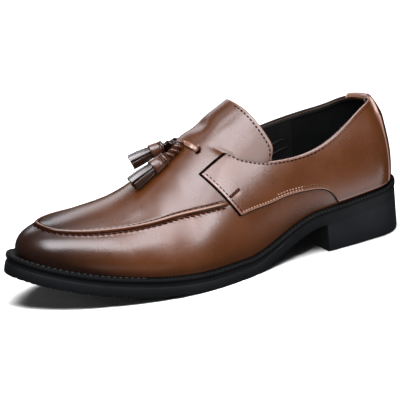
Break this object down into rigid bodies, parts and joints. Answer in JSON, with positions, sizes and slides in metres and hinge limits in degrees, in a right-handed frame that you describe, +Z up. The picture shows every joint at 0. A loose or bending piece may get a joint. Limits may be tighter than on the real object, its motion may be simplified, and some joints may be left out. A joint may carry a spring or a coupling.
{
  "type": "tassel loafer",
  "caption": "Left slip-on leather dress loafer with raised apron seam, side tabs, knotted lace with tassels, welted black rubber sole and block heel.",
  "frame": {"origin": "middle of the shoe's footprint box, on the floor that it stands on", "axes": "+Z up, toe towards -X, heel towards +X, lateral (outer) side towards -Y"},
  "size_m": [0.3003, 0.1046, 0.1114],
  "materials": {
    "brown_leather": "smooth polished calf leather, cognac brown with darker burnished toe",
    "tassel_leather": "smooth dark brown leather",
    "black_rubber": "satin black rubber",
    "welt_rubber": "satin black rubber with moulded notches",
    "black_lining": "matt black lining leather"
  },
  "bodies": {
    "root": {"outsole": "black_rubber", "heel": "black_rubber", "welt": "welt_rubber", "insole": "black_lining", "upper": "brown_leather", "quarter_lateral": "brown_leather", "quarter_medial": "brown_leather", "back_strip": "brown_leather", "lace": "tassel_leather", "lace_knot": "tassel_leather", "lace_end_lateral": "tassel_leather", "lace_end_medial": "tassel_leather", "tassel_lateral": "tassel_leather", "tassel_medial": "tassel_leather"}
  },
  "joints": []
}
